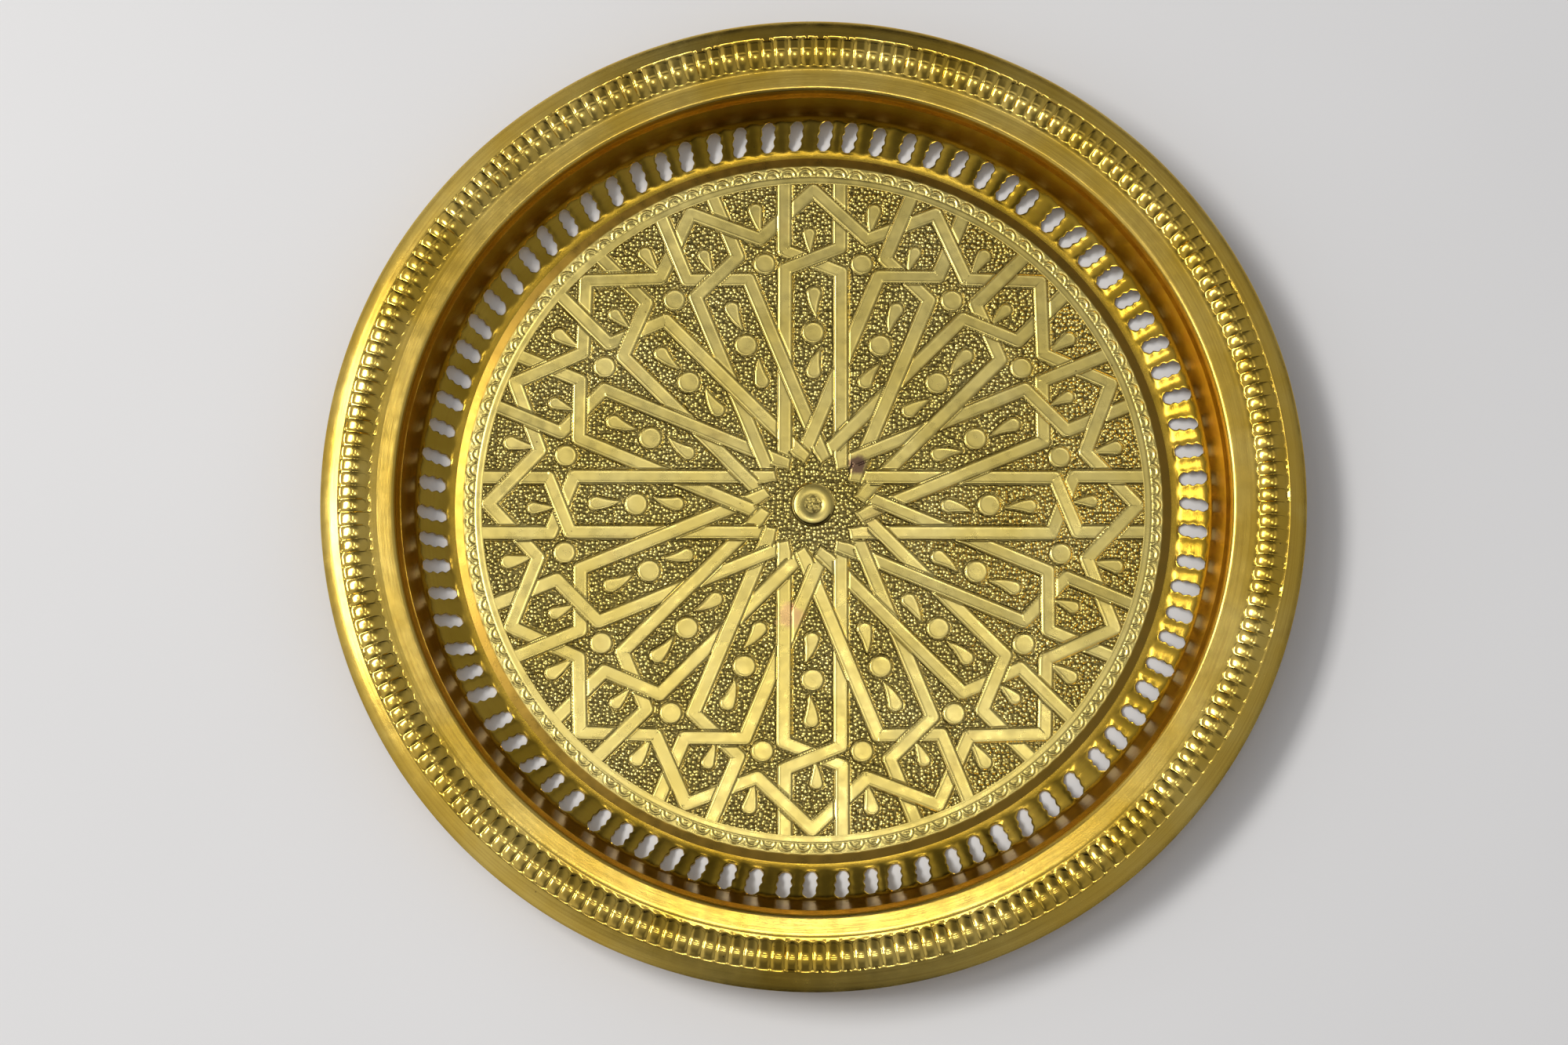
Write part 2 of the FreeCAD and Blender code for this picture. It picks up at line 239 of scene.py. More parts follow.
def smooth_noise(x, y, size, seed):
    """Smooth uneven field of about -1 to 1, whose waves are about `size` long."""
    waves, shortest, longest, usual_peak = 14, 0.7, 1.6, 1.6
    random = np.random.default_rng(seed)
    total = np.zeros_like(x)
    for _ in range(waves):
        heading, phase = random.uniform(0, TURN, 2)
        wave = TURN / (size * random.uniform(shortest, longest))
        total += np.sin((x * math.cos(heading) + y * math.sin(heading)) * wave + phase)
    return total / math.sqrt(waves / 2) / usual_peak


def turned(radius, height, angle):
    """Points at radii, heights and angles round the tray's axis."""
    return np.stack((radius * np.cos(angle), radius * np.sin(angle), height), axis=-1)


def grid_index(block):
    """Vertex numbers of a grid of points."""
    return np.arange(block.size // 3).reshape(block.shape[:2])


def grid_quads(index, closed_rows=False, closed_columns=False):
    """Faces of a grid of vertex numbers. They face up where rows run outwards and columns run round."""
    down = np.roll(index, -1, axis=0)
    if not closed_rows:
        index, down = index[:-1], down[:-1]
    faces = (index, down, np.roll(down, -1, axis=1), np.roll(index, -1, axis=1))
    if not closed_columns:
        faces = tuple(corner[:, :-1] for corner in faces)
    return np.stack(faces, axis=-1).reshape(-1, 4)


def rows_along(stops, counts):
    """Places spread evenly from each stop to the next, with the last stop among them."""
    last = len(counts) - 1
    runs = []
    for number, count in enumerate(counts):
        runs.append(np.linspace(stops[number], stops[number + 1], count, endpoint=number == last))
    return np.concatenate(runs)


def weld(points, quads, tolerance=0.001):
    """Join points that lie in the same place."""
    cells = np.round(points / tolerance).astype(np.int64)
    _, first, inverse = np.unique(cells, axis=0, return_index=True, return_inverse=True)
    return points[first], inverse.reshape(-1)[quads]


def add_piece(
    name, points, quads, node, material, crease=None, normals=None, polygon=None, values=None
):
    """A piece of the object from points in millimetres and four-sided faces; the CAD node it stands for is
    hidden.
    """
    mesh = bpy.data.meshes.new(name)
    loops = quads.reshape(-1)
    starts = np.arange(len(quads)) * 4
    if polygon is not None:
        starts = np.append(starts, len(loops))
        loops = np.append(loops, polygon)
    mesh.vertices.add(len(points))
    mesh.vertices.foreach_set("co", (points * MM).astype(np.float32).reshape(-1))
    mesh.loops.add(len(loops))
    mesh.loops.foreach_set("vertex_index", loops.astype(np.int32))
    mesh.polygons.add(len(starts))
    mesh.polygons.foreach_set("loop_start", starts.astype(np.int32))
    mesh.update(calc_edges=True)
    mesh.shade_smooth()
    if crease is not None:
        mesh.set_sharp_from_angle(angle=crease)
    for label, numbers in (values or {}).items():
        attribute = mesh.attributes.new(label, "FLOAT", "POINT")
        attribute.data.foreach_set("value", numbers.astype(np.float32))
    if normals is not None:
        mesh.normals_split_custom_set_from_vertices(normals.astype(np.float32))
    mesh.materials.append(material)
    piece = bpy.data.objects.new(name, mesh)
    bpy.context.scene.collection.objects.link(piece)
    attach(piece, "root")
    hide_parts(node)


def turned_shell(path, face_rows, back_rows, angles, face_offset, back_offset):
    """Closed ring of bent sheet: the face outwards along the path, then the back inwards again."""
    face_rows, back_rows = face_rows[:, None], back_rows[::-1, None]
    face = path.at(face_rows, face_offset(face_rows, angles))
    back = path.at(back_rows, back_offset(back_rows, angles) - GAUGE)
    points = turned(np.concatenate((face[0], back[0])), np.concatenate((face[1], back[1])), angles)
    quads = grid_quads(grid_index(points), closed_rows=True, closed_columns=True)
    return points.reshape(-1, 3), quads


# ---------------------------------------------------------------- rim


def hand_wave(depth, size, seed):
    """Offset that makes a surface as uneven as hand-finished sheet."""
    drift_x, drift_y = 1.7, -1.3

    def offset(along, angles):
        x, y = np.cos(angles) * RIM_RADIUS, np.sin(angles) * RIM_RADIUS
        return depth * smooth_noise(x + along * drift_x, y + along * drift_y, size, seed)

    return offset


def smooth_step(value, low, high):
    share = np.clip((value - low) / (high - low), 0, 1)
    return share * share * (3 - 2 * share)


def dome(inside, width, depth):
    """Round fall of a raised shape from its middle to its edge and beyond, as a negative height."""
    share = np.clip(1 - inside / width, 0, 1)
    return -depth * (1 - np.sqrt(1 - share**2))


def flutes(path):
    """Offset of the two tiers of hand-pressed lobes on the moulding: long fingers, then short pads."""
    finger_half_width, finger_start, finger_end, finger_depth = 1.98, 139.4, 144.45, 0.50
    finger_rise, tier_gap, tier_fall = 0.12, 0.16, 0.6
    pad_half_width, pad_end, pad_round, pad_depth = 1.9, 148.4, 1.25, 0.40
    uneven_depth, uneven_place = 0.10, 0.06
    random = np.random.default_rng(FLUTE_COUNT)
    strength = 1 + random.normal(0, uneven_depth, FLUTE_COUNT)
    shift = random.normal(0, uneven_place, FLUTE_COUNT)

    def offset(along, angles):
        radius = path.at(along)[0]
        turn_share = angles / TURN * FLUTE_COUNT
        number = np.round(turn_share).astype(int) % FLUTE_COUNT
        phase = (turn_share - np.round(turn_share)) * 2
        across = phase * TURN * radius / FLUTE_COUNT / 2 + shift[number] * (1 - phase**2)
        finger_tip = np.clip(finger_start + finger_half_width - radius, 0, None)
        finger = dome(finger_half_width - np.hypot(across, finger_tip), finger_half_width, finger_depth)
        finger = np.minimum(finger * strength[number], dome(finger_end - radius, tier_fall, tier_gap))
        finger *= smooth_step(radius, finger_start - 0.7, finger_start + 0.1)
        arch = np.clip((radius - finger_start + 0.3) / (finger_end - finger_start + 0.3), 0, 1)
        finger += finger_rise * 4 * arch * (1 - arch)
        beside = np.clip(np.abs(across) - pad_half_width + pad_round, 0, None)
        beyond = np.clip(radius - pad_end + pad_round, 0, None)
        pad = dome(pad_round - np.hypot(beside, beyond), pad_round, pad_depth) * strength[number]
        pad = np.minimum(pad, dome(radius - finger_end, tier_fall, tier_gap))
        pad *= 1 - smooth_step(radius, LIP_RADIUS - 0.6, LIP_RADIUS - 0.05)
        return np.where(radius < finger_end, finger, pad)

    return offset


def build_rim(materials):
    path = flange_path()
    moulding_start = path.along_at_radius(MOULDING_START)
    crest = path.along_at_radius(CREST_RADIUS)
    lip_start = path.along_at_radius(LIP_RADIUS - 0.001)
    rings = np.arange(RING_COLUMNS) * TURN / RING_COLUMNS
    wave = hand_wave(0.02, 30, 3)

    # rows are closer together in the bends
    bend = path.along_at_radius(SHOULDER_RADIUS)
    rows = rows_along((0, bend - 1.6, bend + 1.2, moulding_start), (12, 14, 10))
    points, quads = turned_shell(path, rows, rows[::2], rings, wave, wave)
    add_piece("rim_flat_ring", points, quads, "rim_flange", materials["brushed"], SHEET_CREASE)

    # columns are closer together in the valleys between the lobes
    half_flute = np.array((0.12, 0.36, 0.56, 0.72, 0.84, 0.93))
    one_flute = np.concatenate((-half_flute[::-1], half_flute, (1.0,))) / 2
    columns = ((np.arange(FLUTE_COUNT)[:, None] + one_flute) * TURN / FLUTE_COUNT).reshape(-1)
    rows = rows_along((moulding_start, crest - 0.9, crest + 0.9, lip_start), (12, 7, 7))
    back_rows = np.linspace(moulding_start, lip_start, 9)
    pressed = flutes(path)
    points, quads = turned_shell(path, rows, back_rows, columns, pressed, pressed)
    metal = materials["moulding"]
    add_piece("rim_moulding", points, quads, "rim_flange", metal, MOULDING_CREASE)

    lip_end = path.along_at_radius(RIM_RADIUS - ROLL_RADIUS + ROLL_RADIUS * math.sin(LIP_SLOPE) - 0.01)
    rows = rows_along((lip_start, lip_end, path.length), (8, 36))
    points, quads = turned_shell(path, rows, rows[::2], rings, wave, wave)
    add_piece("rim_lip_and_hem", points, quads, "rim_flange", materials["lip"], SHEET_CREASE)


# ---------------------------------------------------------------- gallery


def slot_outline(count):
    """Evenly spaced points round one slot, anticlockwise from the middle of its side: across, up."""
    end_power, side_power = 0.85, 0.5
    lobe_length, lobe_depth = 3.0, 0.13
    fine = np.linspace(0, TURN, 721)
    upward = SLOT_HALF_LENGTH * np.sign(np.sin(fine)) * np.abs(np.sin(fine)) ** end_power
    across = SLOT_HALF_WIDTH * np.sign(np.cos(fine)) * np.abs(np.cos(fine)) ** side_power
    across = across * (1 + lobe_depth * np.cos(TURN * upward / lobe_length))
    steps = np.hypot(np.diff(across), np.diff(upward))
    along = np.concatenate(([0.0], np.cumsum(steps)))
    even = np.linspace(0, along[-1], count, endpoint=False)
    return np.interp(even, along, across), np.interp(even, along, upward)


def cell_edge(side, top):
    """Places round a cell's edge, from the middle of one side: across from -1 to 1, up from -1 to 1."""
    half = side // 2
    up = np.arange(half) / half
    over = 1 - 2 * np.arange(top) / top
    down = 1 - 2 * np.arange(side) / side
    back = np.arange(half) / half - 1
    across = np.concatenate((np.ones(half), over, -np.ones(side), -over, np.ones(half)))
    upward = np.concatenate((up, np.ones(top), down, -np.ones(top), back))
    return across, upward


def slot_angles(random):
    """Angle of each slot's middle, and where its cell starts and ends. One gap is wider than the rest."""
    spread, most = 0.0035, 0.007
    number = np.arange(SLOT_COUNT)
    pitch = (TURN - WIDE_GAP_EXTRA) / SLOT_COUNT
    centres = number * pitch + (number > WIDE_GAP_AFTER) * WIDE_GAP_EXTRA
    centres = centres + np.clip(random.normal(0, spread, SLOT_COUNT), -most, most) * (number > 0)
    after = np.append(centres[1:], centres[0] + TURN)
    upper_bound = (centres + after) / 2
    lower_bound = np.append(upper_bound[-1] - TURN, upper_bound[:-1])
    return centres, lower_bound, upper_bound


def slot_cells(path, middle, random, centres, lower_bound, upper_bound):
    """Face and back of the sheet round every slot, as rings of points from the slot to its cell's edge."""
    side, rings, ring_power = 14, 6, 1.5
    edge_across, edge_up = cell_edge(side, CELL_COLUMNS)
    hole_across, hole_up = slot_outline(len(edge_across))

    # every slot differs a little in width, length, lean and height, and its edge is ragged
    width = 1 + random.normal(0, 0.05, SLOT_COUNT)
    length = 1 + random.normal(0, 0.03, SLOT_COUNT)
    lean = -0.14 + random.normal(0, 0.05, SLOT_COUNT)
    lift = random.normal(0, 0.18, SLOT_COUNT)
    hole_along = hole_up * length[:, None] + lift[:, None]
    ragged = random.normal(0, 0.07, hole_along.shape)
    hole_side = hole_across * width[:, None] + lean[:, None] * hole_up + ragged
    hole_angle = centres[:, None] + hole_side / path.at(middle)[0]

    edge_angle = np.where(
        edge_across < 0,
        centres[:, None] + (centres - lower_bound)[:, None] * edge_across,
        centres[:, None] + (upper_bound - centres)[:, None] * edge_across,
    )
    even = lower_bound[:, None] + (upper_bound - lower_bound)[:, None] * (edge_across + 1) / 2
    edge_angle = np.where(np.abs(edge_up) == 1, even, edge_angle)
    share = ((np.arange(rings + 1) / rings) ** ring_power)[None, :, None]
    angle = hole_angle[:, None, :] * (1 - share) + edge_angle[:, None, :] * share
    along = hole_along[:, None, :] * (1 - share) + (edge_up * CELL_HALF_LENGTH)[None, None, :] * share
    along = along + middle

    # the punch drags the sheet down round the slot and leaves a burr on its edge
    dish = (0.24 + random.normal(0, 0.05, SLOT_COUNT))[:, None, None]
    burr = np.abs(random.normal(0.12, 0.09, hole_along.shape))[:, None, :] * (share == 0)
    sink = dish * (1 - share) ** 3 * (1 + 3 * share)
    face = turned(*path.at(along, burr - sink), angle)
    back = turned(*path.at(along, -sink - GAUGE - burr * 0.5), angle)
    back[..., 2] = np.maximum(back[..., 2], 0.0)
    return face, back


def build_gallery(materials):
    path = gallery_path()
    random = np.random.default_rng(SLOT_COUNT)
    centres, lower_bound, upper_bound = slot_angles(random)
    above_foot = path.height > GAUGE
    slope_middle = (BEND_HEIGHT + GAUGE) / 2
    middle = float(np.interp(slope_middle, path.height[above_foot], path.along[above_foot]))
    face, back = slot_cells(path, middle, random, centres, lower_bound, upper_bound)

    points, quads, count = [], [], 0

    def add(block, faces_up):
        nonlocal count
        faces = grid_quads(grid_index(block), closed_columns=True)
        points.append(block.reshape(-1, 3))
        quads.append((faces if faces_up else faces[:, ::-1]) + count)
        count += block.size // 3

    for cell in range(SLOT_COUNT):
        add(face[cell], False)
        add(back[cell], True)
        add(np.stack((face[cell, 0], back[cell, 0])), True)

    columns = (upper_bound - lower_bound)[:, None] * np.arange(CELL_COLUMNS) / CELL_COLUMNS
    columns = (lower_bound[:, None] + columns).reshape(-1)
    for start, end, face_count, back_count in (
        (middle + CELL_HALF_LENGTH, path.length, 16, 9),
        (0.0, middle - CELL_HALF_LENGTH, 9, 6),
    ):
        for rows, offset in ((face_count, 0.0), (back_count, -GAUGE)):
            radius, height = path.at(np.linspace(start, end, rows)[:, None], offset)
            add(turned(radius + 0 * columns, height + 0 * columns, columns), offset == 0)
    for place, outward in ((path.length, True), (0.0, False)):
        ends = [path.at(np.array([[place]]), offset) for offset in (0.0, -GAUGE)]
        add(np.concatenate([turned(r + 0 * columns, z + 0 * columns, columns) for r, z in ends]), outward)

    points, quads = weld(np.concatenate(points), np.concatenate(quads))
    metal = materials["gallery"]
    add_piece("gallery_wall", points, quads, "gallery_band", metal, SLOT_CREASE)


# ---------------------------------------------------------------- chased floor

FAR = 1e3
SECTOR = TURN / PETALS
BORDER_LAP = 0.35

# Each petal's pattern is drawn with the petal pointing along +Y and repeated round the floor.
STRAP_LEFT = ((-9.0, 12.0), (-9.0, 77.3), (8.6, 84.5), (8.6, 107.0))
STRAP_RIGHT = ((9.0, 12.0), (9.0, 76.2), (-9.4, 83.5), (-9.4, 107.0))
LEVEL_CHANGES = (17.5, 33.0, 60.0, 88.0)
LEVELS_LEFT = (-1, 1, -1, 1, -1)
LEVELS_RIGHT = (1, -1, 1, -1, 1)
ZIGZAG_PEAK = 103.6
ZIGZAG_VALLEY = 89.0
KNOT_RADIUS = 80.5
KNOT_SIZE = 3.5
STAR_OUTER, STAR_INNER = 17.2, 13.5
STAR_STEEPNESS = 0.75
STAR_REACH = 30
BOSS_INNER, BOSS_MIDDLE, BOSS_OUTER = 2.9, 4.55, 6.2
BOSS_HALF_WIDTH = 1.55
BOSS_CLEAR = 7
# each drop: head centre, head size, tip, how far its tail curls
PETAL_DROPS = (
    ((-1.3, 89.0), 2.1, (-1.5, 82.6), 0.5),
    ((0.3, 69.2), 2.4, (-0.6, 61.6), 1.6),
    ((0.2, 43.4), 2.4, (0.6, 50.8), -1.6),
)
BORDER_DROP = ((0.5, 98.6), 2.35, (0.0, 90.6), 0.8)
PETAL_CIRCLE = (0.0, 56.3)
CIRCLE_SIZE = 3.6


def rotated(x, y, angle):
    cosine, sine = np.cos(angle), np.sin(angle)
    return x * cosine - y * sine, x * sine + y * cosine


def run_distance(x, y, start, end):
    """Signed distance across a straight run and the unsigned distance from it, its ends included."""
    run_x, run_y = end[0] - start[0], end[1] - start[1]
    size = run_x**2 + run_y**2
    share = np.clip(((x - start[0]) * run_x + (y - start[1]) * run_y) / size, 0, 1)
    off_x, off_y = x - start[0] - share * run_x, y - start[1] - share * run_y
    side = (off_x * run_y - off_y * run_x) / math.sqrt(size)
    return side, np.hypot(off_x, off_y)


def strap_field(x, y, corners, tilts):
    """How far inside a strap each point is, and the small roll of the strap's surface there."""
    roll_reach = 2.5
    inside = np.full(x.shape, -FAR)
    roll = np.zeros(x.shape)
    for start, end, tilt in zip(corners, corners[1:], tilts):
        side, distance = run_distance(x, y, start, end)
        better = STRAP_HALF_WIDTH - distance > inside
        inside = np.where(better, STRAP_HALF_WIDTH - distance, inside)
        roll = np.where(better, np.clip(side, -roll_reach, roll_reach) * tilt, roll)
    return inside, roll


def drop_field(x, y, head, size, tip, curl):
    """How far inside a teardrop each point is. Its tail bends sideways by the curl."""
    run_x, run_y = tip[0] - head[0], tip[1] - head[1]
    length = math.hypot(run_x, run_y)
    share = np.clip(((x - head[0]) * run_x + (y - head[1]) * run_y) / length**2, 0, 1)
    bend = curl * share**2
    centre_x = head[0] + share * run_x - bend * run_y / length
    centre_y = head[1] + share * run_y + bend * run_x / length
    tail_power, tip_width = 0.8, 0.25
    width = size * (1 - share) ** tail_power + tip_width * share
    return width - np.hypot(x - centre_x, y - centre_y)


def ridge(place, middle, width):
    """Height from 0 to 1 of a soft line that is `width` to either side of its middle."""
    return np.exp(-(((place - middle) / width) ** 2))


def shoulder(inside):
    """Rounded fall of a raised shape towards its edge, with a thin rolled line just inside it."""
    return dome(inside, 0.5, 0.32) + 0.045 * ridge(inside, 0.55, 0.28)


def beads(x, y):
    """Height of the punched ground: round beads packed in an uneven pattern, 0 in the gaps to 1."""
    table, stray, smallest, largest = 97, 0.30, 0.50, 0.66
    random = np.random.default_rng(1300)
    jitter = random.uniform(-stray, stray, (table, table, 2)) * BEAD_PITCH
    sizes = random.uniform(smallest, largest, (table, table)) * BEAD_PITCH
    row_height = BEAD_PITCH * math.sqrt(3) / 2
    row = np.floor(y / row_height).astype(int)
    best = np.zeros(x.shape)
    for row_step in (-1, 0, 1):
        line = row + row_step
        column = np.floor(x / BEAD_PITCH - 0.5 * (line % 2)).astype(int)
        for column_step in (-1, 0, 1, 2):
            place = column + column_step
            offset = jitter[line % table, place % table]
            centre_x = (place + 0.5 * (line % 2)) * BEAD_PITCH + offset[..., 0]
            centre_y = line * row_height + offset[..., 1]
            distance = np.hypot(x - centre_x, y - centre_y) / sizes[line % table, place % table]
            best = np.maximum(best, np.sqrt(np.clip(1 - distance**2, 0, 1)))
    return best


def petal_levels(y, levels):
    return np.select([y < change for change in LEVEL_CHANGES], levels[:-1], levels[-1])


def petal_views(x, y, reach):
    """Each point's own petal and its neighbours: the petal's number, and the turn that brings it to +Y."""
    own = np.round((np.arctan2(y, x) - math.pi / 2) / SECTOR).astype(int)
    for step in range(-reach, reach + 1):
        number = (own + step) % PETALS
        yield number, -number * SECTOR


def woven_straps(x, y):
    """How far inside a strap each point is, that strap's roll, the crossing cuts, and where straps are."""
    no_strap, cut_depth = -9.0, 0.30
    winner = np.full(x.shape, no_strap)
    inside = np.full(x.shape, -FAR)
    roll = np.zeros(x.shape)
    fields = []
    all_tilts = np.random.default_rng(PETALS).normal(0, 0.014, (PETALS, 8))
    valley = (ZIGZAG_VALLEY * math.sin(SECTOR / 2), ZIGZAG_VALLEY * math.cos(SECTOR / 2))
    zigzag = ((-valley[0], valley[1]), (0.0, ZIGZAG_PEAK), valley)
    for number, turn in petal_views(x, y, 3):
        px, py = rotated(x, y, turn)
        tilts = all_tilts[number].T
        for corners, levels, rolls in (
            (STRAP_LEFT, LEVELS_LEFT, tilts[:3]),
            (STRAP_RIGHT, LEVELS_RIGHT, tilts[3:6]),
            (zigzag, None, tilts[6:]),
        ):
            near, lean = strap_field(px, py, corners, rolls)
            level = np.zeros(x.shape) if levels is None else petal_levels(py, levels)
            fields.append((near, level))
            wins = (near > 0) & ((level > winner) | ((level == winner) & (near > inside)))
            inside = np.where(wins | ((winner == no_strap) & (near > inside)), near, inside)
            roll = np.where(wins, lean, roll)
            winner = np.where(wins, level, winner)

    on_strap = winner > no_strap
    groove = np.zeros(x.shape)
    for near, level in fields:
        crossed = on_strap & (level > winner) & (near < 0.05)
        groove = np.maximum(groove, np.where(crossed, cut_depth * ridge(near, -0.22, 0.24), 0))
    return inside, roll, groove, on_strap


def chased_height(x, y):
    """Height of the chased field above the floor's top, and from 0 to 1 its recesses and punched ground."""
    radius = np.hypot(x, y)
    inside, roll, groove, on_strap = woven_straps(x, y)
    raised = np.where(on_strap, inside, -FAR)
    for _, turn in petal_views(x, y, 1):
        px, py = rotated(x, y, turn)
        bx, by = rotated(x, y, turn + SECTOR / 2)
        shapes = [CIRCLE_SIZE - np.hypot(px - PETAL_CIRCLE[0], py - PETAL_CIRCLE[1])]
        shapes.append(KNOT_SIZE - np.hypot(bx, by - KNOT_RADIUS))
        shapes += [drop_field(px, py, *drop) for drop in PETAL_DROPS]
        shapes.append(drop_field(bx, by, *BORDER_DROP))
        for shape in shapes:
            raised = np.where(on_strap, raised, np.maximum(raised, shape))
            inside = np.where(on_strap, inside, np.maximum(inside, shape))

    # the straps stop at a star round the middle
    phase = np.abs((np.arctan2(y, x) / SECTOR + 0.5) % 1 - 0.5) * 2
    star = STAR_OUTER + (STAR_INNER - STAR_OUTER) * phase
    star_inside = (radius - star) * STAR_STEEPNESS
    in_star = star_inside < 0
    star_edge = np.where(radius < STAR_REACH, star_inside, FAR)
    raised = np.where(in_star, -FAR, np.minimum(raised, star_edge))
    inside = np.where(in_star, star_inside, np.minimum(inside, star_edge))
    groove = np.where(in_star, 0, groove)

    # the ground lies flat along every raised shape and is punched with beads further away
    border_gap = FIELD_RADIUS + BORDER_LAP - radius
    top = shoulder(raised) + roll * (raised > 0) - groove
    clear = smooth_step(-inside, 0.20, 0.75) * smooth_step(border_gap, 0.0, 0.5)
    ground = -GROUND_DEPTH - 0.04 + clear * (0.04 + 0.12 * beads(x, y))
    ground += 0.03 * smooth_noise(x, y, 9, 61)
    height = np.where(raised > 0, np.maximum(top, ground), ground)

    # boss in the middle: a rounded ring with a groove on each side
    ring = -0.02 - 0.24 * ((radius - BOSS_MIDDLE) / BOSS_HALF_WIDTH) ** 2
    height = np.where((radius > BOSS_INNER) & (radius < BOSS_OUTER), ring, height)
    height = np.where((radius >= BOSS_OUTER) & (radius < BOSS_OUTER + 0.75), -0.46, height)
    height = np.where((radius > BOSS_INNER - 0.35) & (radius <= BOSS_INNER), -0.34, height)
    height += 0.022 * smooth_noise(x, y, 14, 5) + 0.006 * smooth_noise(x, y, 3.2, 6)
    punched = np.where((raised > 0) | (radius < BOSS_CLEAR), 0, clear)
    recess = np.clip((-0.06 - height) / 0.30, 0, 1) * (1 - 0.7 * punched)
    return height, recess, punched


def disc_places(across, upward):
    """Spread a square grid from 0 to 1 evenly over a quarter of a disc of radius 1."""
    steep = upward > across
    major = np.where(steep, upward, across)
    minor = np.where(steep, across, upward)
    angle = np.divide(minor, major, out=np.zeros_like(major), where=major > 0) * math.pi / 4
    angle = np.where(steep, math.pi / 2 - angle, angle)
    return major * np.cos(angle), major * np.sin(angle)


def slope_normals(x, y, height, height_of, step=0.12):
    """Unit normals of a height field whose height at the points is known."""
    rise_x = (height_of(x + step, y) - height) / step
    rise_y = (height_of(x, y + step) - height) / step
    normals = np.stack((-rise_x, -rise_y, np.ones_like(x)), axis=-1)
    return normals / np.linalg.norm(normals, axis=-1, keepdims=True)


def build_floor_quarters(materials, cells):
    line = np.arange(cells + 1) / cells
    across, upward = np.meshgrid(line, line, indexing="ij")
    unit_x, unit_y = disc_places(across.reshape(-1), upward.reshape(-1))
    index = np.arange((cells + 1) ** 2).reshape(cells + 1, cells + 1)
    border = np.concatenate((index[:, 0], index[-1, 1:], index[-2::-1, -1], index[0, -2:0:-1]))
    total = index.size
    for quarter in range(4):
        x, y = rotated(unit_x * FIELD_RADIUS, unit_y * FIELD_RADIUS, quarter * math.pi / 2)
        height, recess, punched = chased_height(x, y)
        top = np.stack((x, y, FLOOR_TOP + height), axis=-1)
        normals = slope_normals(x, y, height, lambda px, py: chased_height(px, py)[0])
        bottom = top[border].copy()
        bottom[:, 2] = FLOOR_BOTTOM
        side_top = np.arange(len(border)) + total
        side_bottom = side_top + len(border)
        under = side_bottom + len(border)
        points = np.concatenate((top, top[border], bottom, bottom))
        skirt = np.stack((side_top, side_bottom, np.roll(side_bottom, -1), np.roll(side_top, -1)), axis=-1)
        quads = np.concatenate((grid_quads(index), skirt))
        centre = points[:total].mean(axis=0)
        outward = points[border] - centre
        outward[:, 2] = 0
        outward /= np.linalg.norm(outward, axis=1, keepdims=True)
        below = np.tile((0.0, 0.0, -1.0), (len(border), 1))
        all_normals = np.concatenate((normals, outward, outward, below))
        plain = np.zeros(3 * len(border))
        add_piece(
            f"floor_chasing_{quarter + 1}",
            points,
            quads,
            "floor_plate",
            materials["floor"],
            normals=all_normals,
            polygon=under[::-1],
            values={"recess": np.concatenate((recess, plain)), "punched": np.concatenate((punched, plain))},
        )


def border_height(x, y):
    """Height of the plain ring, the row of crescents and the bevel, above the floor's top."""
    radius = np.hypot(x, y)
    turn_share = np.arctan2(y, x) / TURN * SCALLOP_COUNT
    number = np.round(turn_share).astype(int) % SCALLOP_COUNT
    arc_depth, groove_depth = 0.16, 0.13
    random = np.random.default_rng(SCALLOP_COUNT)
    sizes = 1 + random.normal(0, 0.05, SCALLOP_COUNT)
    shifts = random.normal(0, 0.22, SCALLOP_COUNT)
    across = (turn_share - np.round(turn_share)) * TURN / SCALLOP_COUNT * radius + shifts[number]
    upward = radius - PLAIN_RING_RADIUS - 0.15
    reach = np.hypot(across * 1.05, upward) / sizes[number]

    # each crescent is a raised arc between two punched ones
    arc = ridge(reach, 2.25, 0.30) - ridge(reach, 1.55, 0.34) - ridge(reach, 2.85, 0.22)
    inner_edge = shoulder(radius - FIELD_RADIUS + BORDER_LAP)
    outer_groove = -groove_depth * ridge(radius, PLAIN_RING_RADIUS, 0.22)
    scallops = arc_depth * arc * smooth_step(radius, PLAIN_RING_RADIUS, PLAIN_RING_RADIUS + 0.4)
    scallops *= 1 - smooth_step(radius, SCALLOP_RADIUS - 0.1, BEVEL_RADIUS)
    height = inner_edge + outer_groove + scallops
    fall = (FLOOR_TOP - BEVEL_EDGE_HEIGHT) / (FLOOR_RADIUS - BEVEL_RADIUS)
    height -= np.clip(radius - BEVEL_RADIUS, 0, None) * fall
    return height + 0.012 * smooth_noise(x, y, 12, 8)


